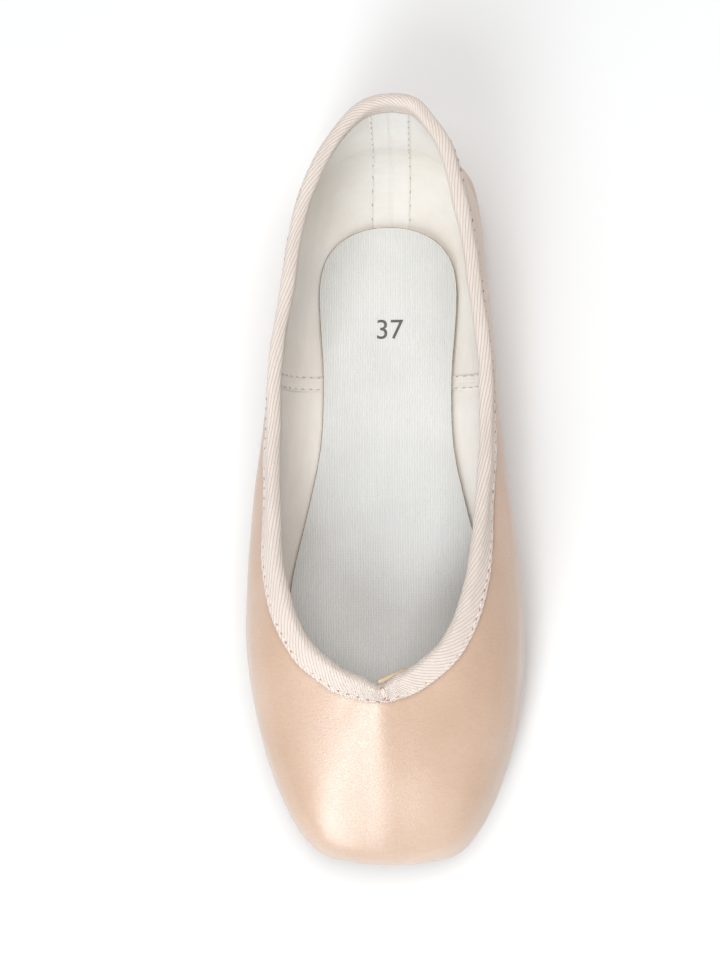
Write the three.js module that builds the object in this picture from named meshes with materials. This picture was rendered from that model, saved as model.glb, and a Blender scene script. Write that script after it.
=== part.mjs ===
// A pointe shoe, standing empty on its sole. Millimetres, +Z up, toe towards -Y, heel towards +Y.
// The origin is on the floor, in the middle of the shoe's length and width.
import * as THREE from "three";

// ---- Driving dimensions ----
const shoeLength = 226; // toe platform to the back of the slack heel
const ballWidth = 85; // across the joints, outside
const instepHeight = 46; // top edge of the vamp, at the throat
const waistHeight = 39; // top edge at the arch, its lowest place
const heelHeight = 57.5; // top edge at the back of the heel
const archRise = 7; // how far the waist of the sole stands off the floor
const toeSpring = 4; // how far the sole lifts under the platform

const outsoleThickness = 2.2;
const insoleThickness = 2;
const quarterWall = 1.5; // satin, lining and their interlining
const boxWall = 3; // the same with the stiffened toe block
const tapeThickness = 0.9; // collar binding, folded over its cord channel
const gap = 0.3; // between pieces that touch

// ---- Places along the shoe ----
const toeEnd = -shoeLength / 2;
const forefootFlat = [toeEnd + 35, toeEnd + 74]; // the two flats it stands on
const heelFlat = [toeEnd + 175, toeEnd + 201];
const boxEnd = toeEnd + 51; // where the stiff toe block has faded out
const boxFade = 30;
const collarFront = toeEnd + 53.6;
const collarBack = shoeLength / 2 - 1.4;
const collarLow = toeEnd + 123; // where the top edge is lowest

// ---- Sections, from the toe centre round one side to the heel centre ----
// along, half: the widest line, as shares of the length and of half the ball width
// topAlong, topHalf: the top edge, in the same shares
// solePlace, soleHalf: the insole's edge, in the same shares
// rise: height of the widest line above the sole; under: radius of the turn beneath it
// brow: height that the wall climbs to before it turns in; rake: its slope at the top edge, in
// degrees from level; reach: how soon it settles to that slope, as a share of its chord
// sway, lean: sideways set of the widest line and of the soft top edge
// leg: how far the binding reaches down each face
const sectionColumns = [
  "along", "half", "topAlong", "topHalf", "solePlace", "soleHalf",
  "rise", "under", "brow", "rake", "reach", "sway", "lean", "leg",
];
const sections = [
  [0.0, 0.0, 0.232, 0.0, 0.05, 0.0, 6, 4.5, 27, 21, 0.86, 0.7, -1.2, 3.4],
  [0.003, 0.27, 0.236, 0.059, 0.054, 0.2, 6, 4.5, 27, 21, 0.86, 0.7, -1.2, 4],
  [0.013, 0.48, 0.243, 0.127, 0.067, 0.365, 7, 5, 27, 21, 0.82, 0.7, -1.6, 4.8],
  [0.037, 0.615, 0.252, 0.226, 0.092, 0.506, 8, 6, 26, 21, 0.7, 0.5, -2, 5.3],
  [0.077, 0.739, 0.266, 0.334, 0.128, 0.612, 9, 8, 26, 21, 0.58, 0.5, -2, 5.3],
  [0.134, 0.858, 0.285, 0.45, 0.177, 0.69, 11, 9, 27, 21, 0.5, 0.3, -2, 5.3],
  [0.204, 0.947, 0.312, 0.543, 0.235, 0.739, 13, 10, 28.5, 22, 0.45, 0.1, -2, 5.3],
  [0.288, 0.995, 0.347, 0.618, 0.305, 0.753, 15, 10, 30.5, 27, 0.42, -0.5, -2, 5.3],
  [0.376, 0.982, 0.396, 0.687, 0.385, 0.706, 16, 10, 31.5, 44, 0.4, -0.8, -2, 5.2],
  [0.473, 0.925, 0.469, 0.733, 0.473, 0.588, 16, 10, 31, 78, 0.36, -1.3, -1.7, 5],
  [0.566, 0.86, 0.566, 0.755, 0.562, 0.489, 16, 10, 31, 88, 0.3, -1.3, -1, 5],
  [0.659, 0.815, 0.659, 0.748, 0.659, 0.475, 15, 10, 30, 89, 0.3, -0.7, -0.8, 5],
  [0.748, 0.768, 0.748, 0.674, 0.748, 0.508, 14, 10, 30, 87, 0.3, -0.4, -0.2, 5],
  [0.819, 0.722, 0.819, 0.61, 0.795, 0.512, 14, 11, 30, 84, 0.3, 0, 0.1, 5.3],
  [0.881, 0.68, 0.883, 0.518, 0.828, 0.475, 15, 13, 30, 81, 0.3, 0.4, 0.6, 5.5],
  [0.93, 0.61, 0.932, 0.412, 0.852, 0.39, 16, 15, 30, 81, 0.32, 0.5, 1.9, 5.5],
  [0.962, 0.45, 0.967, 0.28, 0.868, 0.265, 16, 17, 30, 86, 0.34, 0.5, 2.5, 5.5],
  [0.981, 0.23, 0.986, 0.174, 0.876, 0.13, 16, 18, 30, 92, 0.34, 0.3, 3.1, 5.5],
  [0.987, 0.0, 0.994, 0.0, 0.878, 0.0, 16, 18, 30, 94, 0.34, 0, 3.3, 5.5],
];

// The outsole is smaller than the foot: its edge, in shares of the length and half the ball width.
const outsoleColumns = ["along", "half"];
const outsoleEdge = [
  [0.066, 0.0],
  [0.07, 0.21],
  [0.085, 0.38],
  [0.12, 0.52],
  [0.19, 0.62],
  [0.29, 0.66],
  [0.39, 0.6],
  [0.5, 0.45],
  [0.6, 0.395],
  [0.7, 0.41],
  [0.79, 0.455],
  [0.86, 0.445],
  [0.905, 0.355],
  [0.926, 0.2],
  [0.932, 0.0],
];

const samplesPerSection = 3;
const ribCount = (sections.length - 1) * 2 * samplesPerSection;
const turnSteps = 5; // round the turn under the widest line
const wallSteps = 6; // from the widest line to the binding's lower edge
const legSteps = 2; // down the binding's leg

const smooth = (from, to, y) => THREE.MathUtils.smoothstep(y, from, to);

// Height of the outsole's underside: flat under the forefoot and the heel, arched between.
function soleLine(y) {
  if (y < forefootFlat[0]) {
    const lift = (forefootFlat[0] - y) / (forefootFlat[0] - toeEnd);
    return toeSpring * lift * lift;
  }
  const share = THREE.MathUtils.clamp((y - forefootFlat[1]) / (heelFlat[0] - forefootFlat[1]), 0, 1);
  return archRise * Math.sin(Math.PI * share) ** 2;
}
const marginLine = (y) => soleLine(y) + outsoleThickness + gap; // underside of the upper

// Height of the top edge: it dips from the throat to the waist and climbs to the heel.
function collarHeight(y) {
  if (y < collarLow) {
    return THREE.MathUtils.lerp(instepHeight, waistHeight, smooth(collarFront, collarLow, y));
  }
  return THREE.MathUtils.lerp(waistHeight, heelHeight, smooth(collarLow, collarBack, y));
}
const wallAt = (y) => THREE.MathUtils.lerp(boxWall, quarterWall, smooth(boxEnd - boxFade, boxEnd, y));

// ---- Closed curves round the shoe: one side's rows, then the other side's, mirrored ----
function bothSides(columns, rows) {
  const named = rows.map((row) => Object.fromEntries(columns.map((name, i) => [name, row[i]])));
  return [
    ...named.map((row) => ({ ...row, side: 1 })),
    ...named.slice(1, -1).reverse().map((row) => ({ ...row, side: -1 })),
  ];
}
const sectionRing = bothSides(sectionColumns, sections);
const alongShoe = (share) => toeEnd + share * shoeLength;
const acrossShoe = (share) => (share * ballWidth) / 2;
const loopThrough = (pick, ring = sectionRing) =>
  new THREE.CatmullRomCurve3(ring.map(pick), true, "centripetal");

const outlineLoop = loopThrough((row) => {
  const y = alongShoe(row.along);
  const x = row.side * acrossShoe(row.half) + row.sway;
  return new THREE.Vector3(x, y, marginLine(y) + row.rise);
});
const collarLoop = loopThrough((row) => {
  const y = alongShoe(row.topAlong);
  const x = row.side * acrossShoe(row.topHalf) + row.lean;
  return new THREE.Vector3(x, y, collarHeight(y));
});
const soleLoop = loopThrough(
  (row) => new THREE.Vector3(row.side * acrossShoe(row.soleHalf), alongShoe(row.solePlace), 0),
);
const outsoleLoop = loopThrough(
  (row) => new THREE.Vector3(row.side * acrossShoe(row.half), alongShoe(row.along), 0),
  bothSides(outsoleColumns, outsoleEdge),
);
const browLoop = loopThrough((row) => new THREE.Vector3(row.brow, row.rake, row.reach));
const foldLoop = loopThrough((row) => new THREE.Vector3(row.under, row.leg, 0));

// Level direction from a loop towards the inside of the shoe.
function inwards(loop, t) {
  const tangent = loop.getTangent(t);
  return new THREE.Vector3(-tangent.y, tangent.x, 0).normalize();
}

// A point on a sole's edge, moved in by inset, at the height that heightAt gives.
function edgePoint(loop, t, inset, heightAt) {
  const point = loop.getPoint(t).addScaledVector(inwards(loop, t), inset);
  return point.setZ(heightAt(point.y));
}

// ---- The upper's outer face, as ribs that run from under the foot to the top edge ----
const featherInset = 7; // the margin under the insole, in from its edge
const bezierCircle = 0.5523; // handle length that rounds a quarter circle

function outerRib(t) {
  const widest = outlineLoop.getPoint(t);
  const collar = collarLoop.getPoint(t);
  const [brow, rake, reach] = browLoop.getPoint(t).toArray();
  const { x: radius, y: leg } = foldLoop.getPoint(t);
  const inward = inwards(outlineLoop, t);

  const tucked = widest.clone().addScaledVector(inward, radius);
  tucked.z = marginLine(tucked.y);
  const turn = new THREE.CubicBezierCurve3(
    tucked,
    tucked.clone().addScaledVector(inward, -radius * bezierCircle),
    widest.clone().setZ(THREE.MathUtils.lerp(widest.z, tucked.z, bezierCircle)),
    widest,
  );

  const slope = THREE.MathUtils.degToRad(rake);
  const settle = inwards(collarLoop, t).multiplyScalar(Math.cos(slope)).setZ(Math.sin(slope));
  const wall = new THREE.CubicBezierCurve3(
    widest,
    widest.clone().setZ(brow),
    collar.clone().addScaledVector(settle, -reach * widest.distanceTo(collar)),
    collar,
  );
  const legStart = 1 - leg / wall.getLength();
  const wallEnd = wall.getUtoTmapping(legStart);

  const rib = [edgePoint(soleLoop, t, featherInset, marginLine)];
  for (let i = 0; i <= turnSteps; i++) rib.push(turn.getPoint(i / turnSteps));
  for (let i = 1; i <= wallSteps; i++) rib.push(wall.getPoint((i / wallSteps) * wallEnd));
  for (let i = 1; i <= legSteps; i++) {
    rib.push(wall.getPointAt(THREE.MathUtils.lerp(legStart, 1, i / legSteps)));
  }
  return rib;
}

const ribAt = (i) => (i + ribCount) % ribCount;

// Ribs crowd together over the box's shoulders, so each wall row is evened out round the shoe.
const easing = { passes: 10, share: 0.5 };
function easeRow(ribs, k) {
  const before = ribs.map((rib) => rib[k].clone());
  ribs.forEach((rib, i) => {
    const between = before[ribAt(i - 1)].clone().add(before[ribAt(i + 1)]).multiplyScalar(0.5);
    rib[k].lerp(between, easing.share);
  });
}
const outerRibs = Array.from({ length: ribCount }, (_, i) => outerRib(i / ribCount));
for (let pass = 0; pass < easing.passes; pass++) {
  for (let k = turnSteps + 2; k <= turnSteps + wallSteps; k++) easeRow(outerRibs, k);
}

// Outward normals of a sheet of ribs.
function ribNormals(ribs) {
  return ribs.map((rib, i) =>
    rib.map((_, k) => {
      const round = ribs[ribAt(i + 1)][k].clone().sub(ribs[ribAt(i - 1)][k]);
      const up = rib[Math.min(k + 1, rib.length - 1)].clone().sub(rib[Math.max(k - 1, 0)]);
      return round.cross(up).normalize();
    }),
  );
}
const outerNormals = ribNormals(outerRibs);
const innerRibs = outerRibs.map((rib, i) =>
  rib.map((point, k) => point.clone().addScaledVector(outerNormals[i][k], -wallAt(point.y))),
);

// ---- Solids ----
// Joins closed cross-sections, each a list of points, into a ring.
function ringSolid(crossSections) {
  const size = crossSections[0].length;
  const index = [];
  crossSections.forEach((_, i) => {
    const next = (i + 1) % crossSections.length;
    for (let k = 0; k < size; k++) {
      const above = (k + 1) % size;
      const [a, b] = [i * size + k, next * size + k];
      const [c, d] = [next * size + above, i * size + above];
      index.push(a, b, c, a, c, d);
    }
  });
  return new THREE.BufferGeometry().setFromPoints(crossSections.flat()).setIndex(index);
}

// A plate from stacked outlines, lowest first. Each outline starts at the toe centre and is the
// same on both sides, so its two ends close with strips across the shoe.
function plateSolid(outlines) {
  const size = outlines[0].length;
  const index = [];
  for (let level = 0; level < outlines.length - 1; level++) {
    for (let i = 0; i < size; i++) {
      const next = (i + 1) % size;
      const [a, b] = [level * size + i, level * size + next];
      index.push(a, b, b + size, a, b + size, a + size);
    }
  }
  const top = (outlines.length - 1) * size;
  for (let i = 0; i < size / 2; i++) {
    const [right, rightNext] = [i, i + 1];
    const [left, leftNext] = [(size - i) % size, size - i - 1];
    const strip = [right, leftNext, rightNext];
    if (i > 0) strip.push(right, left, leftNext);
    const closes = rightNext === leftNext; // the heel's last strip is one triangle
    const used = closes ? [right, left, rightNext] : strip;
    index.push(...used);
    for (let k = 0; k < used.length; k += 3) {
      index.push(top + used[k], top + used[k + 2], top + used[k + 1]);
    }
  }
  return new THREE.BufferGeometry().setFromPoints(outlines.flat()).setIndex(index);
}

// The hollow upper: satin vamp, quarters and toe box, open at the collar and under the foot.
const upperGeometry = () =>
  ringSolid(outerRibs.map((rib, i) => [...rib, ...innerRibs[i].slice().reverse()]));

// The binding: a tape folded over the top edge, with a round channel for the cord.
function bindingSection(i) {
  const edge = outerRibs[i].length - 1;
  const legRows = Array.from({ length: legSteps + 1 }, (_, k) => edge - legSteps + k);
  const outside = (k, off) => outerRibs[i][k].clone().addScaledVector(outerNormals[i][k], off);
  const inside = (k, off) => innerRibs[i][k].clone().addScaledVector(outerNormals[i][k], -off);
  const out = outside(edge, 0);
  const along = out.clone().sub(outerRibs[i][edge - 1]).normalize();
  const middle = out.clone().add(inside(edge, 0)).multiplyScalar(0.5);
  const across = out.clone().sub(middle);
  const halfChannel = across.length() + gap;
  const arch = (radius, steps) =>
    Array.from({ length: steps }, (_, k) => {
      const angle = (Math.PI * (k + 0.5)) / steps;
      return middle
        .clone()
        .addScaledVector(across.clone().normalize(), radius * Math.cos(angle))
        .addScaledVector(along, radius * Math.sin(angle));
    });
  const full = gap + tapeThickness;
  return [
    ...legRows.map((k) => outside(k, full)),
    ...arch(halfChannel + tapeThickness, 3),
    ...legRows.slice().reverse().map((k) => inside(k, full)),
    ...legRows.map((k) => inside(k, gap)),
    ...arch(halfChannel, 1),
    ...legRows.slice().reverse().map((k) => outside(k, gap)),
  ];
}
const bindingGeometry = () => ringSolid(outerRibs.map((_, i) => bindingSection(i)));

// A flat sole with skived edges. Its underside follows a height line.
function soleGeometry(loop, underside, thickness, skive) {
  const level = (inset, height) =>
    Array.from({ length: ribCount }, (_, i) =>
      edgePoint(loop, i / ribCount, inset, (y) => underside(y) + height),
    );
  return plateSolid([
    level(skive, 0),
    level(0, skive),
    level(0, thickness - skive / 2),
    level(skive / 2, thickness),
  ]);
}
const outsoleGeometry = () => soleGeometry(outsoleLoop, soleLine, outsoleThickness, 0.8);
const insoleUnderside = (y) => marginLine(y) + wallAt(y) + gap;
const insoleGeometry = () => soleGeometry(soleLoop, insoleUnderside, insoleThickness, 0.5);

// The elastic drawstring: a flat strip that shows for a short way inside the throat.
const drawstring = { width: 1.2, thickness: 1, from: 0.4, to: 2.9, below: 1 };
function drawstringGeometry() {
  const rollOut = quarterWall / 2 + gap + tapeThickness;
  const clear = rollOut + gap + drawstring.width / 2;
  const points = [];
  for (let section = drawstring.from; section <= drawstring.to; section += 0.5) {
    const t = section / sectionRing.length;
    const point = collarLoop.getPoint(t).addScaledVector(inwards(collarLoop, t), clear);
    points.push(point.setZ(point.z - drawstring.below));
  }
  const half = { across: drawstring.width / 2, up: drawstring.thickness / 2 };
  const strip = new THREE.Shape([
    new THREE.Vector2(-half.across, -half.up),
    new THREE.Vector2(half.across, -half.up),
    new THREE.Vector2(half.across, half.up),
    new THREE.Vector2(-half.across, half.up),
  ]);
  const extrudePath = new THREE.CatmullRomCurve3(points);
  return new THREE.ExtrudeGeometry(strip, { extrudePath, steps: 10 });
}

// ---- Materials ----
const finish = (color, roughness) => new THREE.MeshStandardMaterial({ color, roughness, metalness: 0 });
const satin = finish(0xe3c0a2, 0.35);
const bindingTape = finish(0xf1dccd, 0.85);
const insoleCloth = finish(0xe6e4df, 0.9);
const outsoleLeather = finish(0xc9ab88, 0.8);
const elastic = finish(0xe0d2b4, 0.5);

// ---- Assembly ----
const shoe = new THREE.Group();
const addPiece = (name, geometry, material) => {
  const mesh = new THREE.Mesh(geometry, material);
  mesh.name = name;
  shoe.add(mesh);
};
addPiece("outsole", outsoleGeometry(), outsoleLeather);
addPiece("insole", insoleGeometry(), insoleCloth);
addPiece("upper", upperGeometry(), satin);
addPiece("collar_binding", bindingGeometry(), bindingTape);
addPiece("drawstring", drawstringGeometry(), elastic);

export default shoe;
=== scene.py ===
import math
import random

import bmesh
import bpy
import numpy as np
from mathutils import Matrix, Vector
from mathutils.bvhtree import BVHTree


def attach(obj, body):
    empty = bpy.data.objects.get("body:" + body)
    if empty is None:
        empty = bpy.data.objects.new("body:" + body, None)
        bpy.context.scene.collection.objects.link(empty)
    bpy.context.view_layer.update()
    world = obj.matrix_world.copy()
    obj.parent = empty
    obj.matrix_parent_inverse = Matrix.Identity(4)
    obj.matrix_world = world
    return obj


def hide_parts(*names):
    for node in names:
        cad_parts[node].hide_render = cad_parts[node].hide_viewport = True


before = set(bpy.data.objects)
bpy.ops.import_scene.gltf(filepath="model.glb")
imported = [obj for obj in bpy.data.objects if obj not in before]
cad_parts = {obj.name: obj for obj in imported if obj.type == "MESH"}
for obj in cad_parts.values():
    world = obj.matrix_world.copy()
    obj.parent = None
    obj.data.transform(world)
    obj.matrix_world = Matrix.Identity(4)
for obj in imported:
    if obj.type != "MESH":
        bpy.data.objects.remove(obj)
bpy.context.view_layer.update()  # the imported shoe: toe at -Y, heel at +Y, sole on Z = 0
bpy.ops.object.select_all(action="DESELECT")
mm = 0.001


# The upper and the binding are rings of ribs, so each vertex has six neighbours
# and a line goes straight on three edges round from where it came.
neighbours = 6
straightOn = 3


def nextRound(vert, near):
    for face in vert.link_faces:
        corners = list(face.verts)
        at = corners.index(vert)
        if corners[(at + 1) % 3] == near:
            return corners[(at + 2) % 3]


def turned(vert, near, steps):
    for _ in range(steps):
        near = nextRound(vert, near)
    return near


def loopFrom(vert, first):
    loop = [vert, first]
    while True:
        ahead = turned(loop[-1], loop[-2], straightOn)
        if ahead == vert:
            return loop
        loop.append(ahead)


def mergedCopy(nodeName):
    copy = bmesh.new()
    copy.from_mesh(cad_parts[nodeName].data)
    bmesh.ops.remove_doubles(copy, verts=copy.verts, dist=1e-6)
    return copy


def ribGrid(nodeName, rowsBelow):
    # points by rib and row; rib 0 is at the toe centre and the next ones go by +X
    copy = mergedCopy(nodeName)
    start = min(copy.verts, key=lambda vert: vert.co.y)
    loops = [loopFrom(start, edge.other_vert(start)) for edge in start.link_edges]
    loops.sort(key=len)
    rib = max(loops[:2], key=lambda loop: loop[1].co.z)
    ring = max(loops[2:4], key=lambda loop: loop[1].co.x)
    steps = next(n for n in range(neighbours) if turned(start, ring[1], n) == rib[1])
    grid = []
    for at, vert in enumerate(ring):
        ahead = ring[(at + 1) % len(ring)]
        line = loopFrom(vert, turned(vert, ahead, steps))
        line = line[-rowsBelow:] + line[:-rowsBelow] if rowsBelow else line
        grid.append([list(found.co) for found in line])
    copy.free()
    return np.array(grid)


def smoothRows(points, places, closed):
    # rows of points read at fractional places, on smooth curves through every row
    places = np.asarray(places, float)
    if closed:
        before, after = np.roll(points, 1, 0), np.roll(points, -1, 0)
    else:
        before = np.concatenate([2 * points[:1] - points[1:2], points[:-1]])
        after = np.concatenate([points[1:], 2 * points[-1:] - points[-2:-1]])
    stepIn = np.linalg.norm(points - before, axis=-1, keepdims=True) + 1e-9
    stepOut = np.linalg.norm(after - points, axis=-1, keepdims=True) + 1e-9
    slope = (after - points) / stepOut * stepIn + (points - before) / stepIn * stepOut
    slope /= stepIn + stepOut
    whole = np.floor(places).astype(int)
    if not closed:
        whole = np.clip(whole, 0, len(points) - 2)
    part = (places - whole).reshape(-1, *[1] * (points.ndim - 1))
    low, high = whole % len(points), (whole + 1) % len(points)
    step = stepOut[low]
    return (
        (2 * part**3 - 3 * part**2 + 1) * points[low]
        + (part**3 - 2 * part**2 + part) * step * slope[low]
        + (3 * part**2 - 2 * part**3) * points[high]
        + (part**3 - part**2) * step * slope[high]
    )


def rowAt(grid, row):
    return smoothRows(grid.transpose(1, 0, 2), [row], False)[0]


def fineGrid(grid, ringPlaces, rows):
    tall = smoothRows(grid.transpose(1, 0, 2), rows, False).transpose(1, 0, 2)
    return smoothRows(tall, ringPlaces, True)


def pointsOn(grid, ringPlaces, row):
    return smoothRows(rowAt(grid, row)[:, None], ringPlaces, True)[:, 0]


def unit(vectors):
    return vectors / np.maximum(np.linalg.norm(vectors, axis=-1, keepdims=True), 1e-12)


def framesOn(grid, ringPlaces, row):
    # place, direction round the shoe and outward direction at each place
    nudge = 0.08
    ringPlaces = np.asarray(ringPlaces, float)
    along = pointsOn(grid, ringPlaces + nudge, row) - pointsOn(grid, ringPlaces - nudge, row)
    up = pointsOn(grid, ringPlaces, row + nudge) - pointsOn(grid, ringPlaces, row - nudge)
    along = unit(along)
    return pointsOn(grid, ringPlaces, row), along, unit(np.cross(along, up))


def reachAlong(line):
    # how far along a line each of its points is
    return np.concatenate([[0], np.cumsum(np.linalg.norm(np.diff(line, axis=0), axis=1))])


def evenReach(reach, pitch):
    # distances about one pitch apart that share a line out evenly
    number = max(1, round(reach[-1] / pitch))
    return (np.arange(number) + 0.5) / number * reach[-1]


def evenPlaces(grid, row, pitch):
    fine = np.linspace(0, len(grid), 2400)
    reach = reachAlong(pointsOn(grid, fine, row))
    return np.interp(evenReach(reach, pitch), reach, fine)


def sheetNormals(points, closed=True):
    if closed:
        around = np.roll(points, -1, 0) - np.roll(points, 1, 0)
    else:
        around = np.gradient(points, axis=0)
    return unit(np.cross(around, np.gradient(points, axis=1)))


def newMesh(name, vertices, faces, material):
    mesh = bpy.data.meshes.new(name)
    mesh.from_pydata([tuple(v) for v in vertices], [], [tuple(int(c) for c in f) for f in faces])
    mesh.update()
    piece = bpy.data.objects.new(name, mesh)
    bpy.context.scene.collection.objects.link(piece)
    mesh.materials.append(material)
    mesh.shade_smooth()
    return piece


def sheetPiece(name, points, across, upward, material, closed=True):
    # a sheet of quads with a UV map in metres: across goes round, upward along each rib
    rounds, rows = points.shape[:2]
    last = rounds if closed else rounds - 1
    i, k = np.meshgrid(np.arange(last), np.arange(rows - 1), indexing="ij")
    i, k = i.ravel(), k.ravel()
    j = (i + 1) % rounds
    faces = np.stack([i * rows + k, j * rows + k, j * rows + k + 1, i * rows + k + 1], 1)
    piece = newMesh(name, points.reshape(-1, 3), faces, material)
    corners = [(i, i, k), (i + 1, j, k), (i + 1, j, k + 1), (i, i, k + 1)]
    uv = np.stack([np.stack([across[a], upward[b, c]], -1) for a, b, c in corners], 1)
    layer = piece.data.uv_layers.new(name="cloth")
    layer.data.foreach_set("uv", uv.reshape(-1).astype(np.float32))
    return piece


def arcAcross(points):
    row = points[:, points.shape[1] // 2]
    return reachAlong(np.concatenate([row, row[:1]]))


def arcUpward(points):
    steps = np.linalg.norm(np.diff(points, axis=1), axis=2)
    return np.concatenate([np.zeros((len(points), 1)), np.cumsum(steps, axis=1)], axis=1)


def selectOnly(piece):
    bpy.ops.object.select_all(action="DESELECT")
    piece.select_set(True)
    bpy.context.view_layer.objects.active = piece


def applyModifier(piece, kind, **values):
    selectOnly(piece)
    modifier = piece.modifiers.new(kind.lower(), kind)
    for key, value in values.items():
        setattr(modifier, key, value)
    bpy.ops.object.modifier_apply(modifier=modifier.name)


def thicken(piece, thickness):
    applyModifier(piece, "SOLIDIFY", thickness=thickness, offset=-1, use_even_offset=False)


def bump(values, low, high):
    # 0 below low, 1 above high, smooth between
    part = np.clip((values - low) / (high - low), 0, 1)
    return part * part * (3 - 2 * part)


def hill(values, width):
    return np.exp(-((values / width) ** 2))


def softNoise(points, size, seed, octaves=3):
    # smooth wandering values, about -1 to 1, from waves in seeded directions
    rng = np.random.default_rng(seed)
    waves, finer, weaker = 5, 1.7, 1.6
    total = np.zeros(points.shape[:-1])
    for octave in range(octaves):
        for _ in range(waves):
            direction = unit(rng.normal(size=3)) * (2 * math.pi / size) * finer**octave
            total += np.sin(points @ direction + rng.uniform(0, 6.28)) / weaker**octave
    return total / waves


# the upper's rows start six below the toe's foremost point; half are outside, half inside
upperGrid = ribGrid("upper", 6)
bindingGrid = ribGrid("collar_binding", 0)
ribs = len(upperGrid)
wallRows = 15
print("stage: ribs read,", upperGrid.shape, bindingGrid.shape)


def startMaterial(name):
    material = bpy.data.materials.new(name)
    material.use_nodes = True
    nodes, links = material.node_tree.nodes, material.node_tree.links
    shader = nodes["Principled BSDF"]
    return material, nodes, links, shader


def setSockets(node, values):
    for socket, value in values.items():
        node.inputs[socket].default_value = value


def addNode(nodes, kind, sockets, **values):
    node = nodes.new(kind)
    for key, value in values.items():
        setattr(node, key, value)
    setSockets(node, sockets)
    return node


def mapped(nodes, links, source, scale):
    mapping = addNode(nodes, "ShaderNodeMapping", {"Scale": scale})
    links.new(source, mapping.inputs["Vector"])
    return mapping.outputs["Vector"]


def noiseOn(nodes, links, vector, scale, detail=3, roughness=0.5):
    node = addNode(nodes, "ShaderNodeTexNoise", {"Scale": scale, "Detail": detail, "Roughness": roughness})
    links.new(vector, node.inputs["Vector"])
    return node.outputs["Fac"]


def waveOn(nodes, links, vector, scale, direction, distortion, detail):
    sockets = {"Scale": scale, "Distortion": distortion, "Detail": detail, "Detail Scale": 2.0}
    node = addNode(nodes, "ShaderNodeTexWave", sockets,
                   wave_type="BANDS", bands_direction=direction, wave_profile="SIN")
    links.new(vector, node.inputs["Vector"])
    return node.outputs["Fac"]


def bands(period):
    return 0.1 * math.pi / period  # the scale that gives a wave texture this period


def colourRamp(nodes, links, factor, stops):
    ramp = nodes.new("ShaderNodeValToRGB")
    elements = ramp.color_ramp.elements
    while len(elements) < len(stops):
        elements.new(0.5)
    for element, (position, colour) in zip(elements, stops):
        element.position = position
        element.color = (*colour, 1)
    links.new(factor, ramp.inputs["Fac"])
    return ramp.outputs["Color"]


def blendColour(nodes, links, kind, factor, first, second):
    node = nodes.new("ShaderNodeMix")
    node.data_type = "RGBA"
    node.blend_type = kind
    for socket, value in ((node.inputs[0], factor), (node.inputs[6], first), (node.inputs[7], second)):
        if isinstance(value, bpy.types.NodeSocket):
            links.new(value, socket)
        elif socket == node.inputs[0]:
            socket.default_value = value
        else:
            socket.default_value = (*value, 1)
    return node.outputs[2]


def calc(nodes, links, operation, first, second=0.0, third=0.0):
    node = nodes.new("ShaderNodeMath")
    node.operation = operation
    for socket, value in zip(node.inputs, (first, second, third)):
        if isinstance(value, bpy.types.NodeSocket):
            links.new(value, socket)
        else:
            socket.default_value = value
    return node.outputs[0]


def bumpFrom(nodes, links, shader, height, distance, strength=1.0, under=None):
    node = addNode(nodes, "ShaderNodeBump", {"Strength": strength, "Distance": distance})
    links.new(height, node.inputs["Height"])
    if under:
        links.new(under, node.inputs["Normal"])
    if shader:
        links.new(node.outputs["Normal"], shader.inputs["Normal"])
    return node.outputs["Normal"]


def linear(red, green, blue):
    # a colour given from 0 to 255, as light amounts
    def one(value):
        value /= 255
        return value / 12.92 if value <= 0.04045 else ((value + 0.055) / 1.055) ** 2.4
    return one(red), one(green), one(blue)


satin = {
    "colour": linear(207, 175, 152),
    "light": linear(214, 185, 164),
    "dark": linear(199, 165, 141),
    "roughness": 0.36,
    "roughnessRange": 0.5,  # from thread to thread
    "shine": 0.85,
    "coat": 0.42,
    "coatRoughness": 0.3,
    "sheen": 0.06,
    "weaveDepth": 0.08 * mm,
}


def satinMaterial():
    material, nodes, links, shader = startMaterial("peachSatin")
    place = nodes.new("ShaderNodeTexCoord")
    spot = place.outputs["Object"]
    broad = noiseOn(nodes, links, spot, 26, 3, 0.55)
    fine = noiseOn(nodes, links, mapped(nodes, links, spot, (1500, 2400, 1900)), 1, 2, 0.6)
    floats = noiseOn(nodes, links, mapped(nodes, links, spot, (420, 1900, 900)), 1, 3, 0.6)
    colour = colourRamp(nodes, links, broad, [(0.3, satin["dark"]), (0.55, satin["colour"]),
                                              (0.78, satin["light"])])
    grain = colourRamp(nodes, links, floats, [(0.3, (0.9, 0.885, 0.87)), (0.7, (1, 1, 1))])
    links.new(blendColour(nodes, links, "MULTIPLY", 0.7, colour, grain), shader.inputs["Base Color"])
    spread = satin["roughnessRange"]
    rough = calc(nodes, links, "MULTIPLY_ADD", fine, spread, satin["roughness"] - spread / 2)
    links.new(rough, shader.inputs["Roughness"])
    setSockets(shader, {"Specular IOR Level": satin["shine"], "Coat Weight": satin["coat"],
                        "Coat Roughness": satin["coatRoughness"], "Sheen Weight": satin["sheen"],
                        "Sheen Roughness": 0.35, "Sheen Tint": (1.0, 0.9, 0.82, 1)})
    weave = calc(nodes, links, "ADD", fine, calc(nodes, links, "MULTIPLY", floats, 0.8))
    under = bumpFrom(nodes, links, None, broad, 0.0006, 0.25)
    bumpFrom(nodes, links, shader, weave, satin["weaveDepth"], 0.9, under)
    return material


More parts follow.
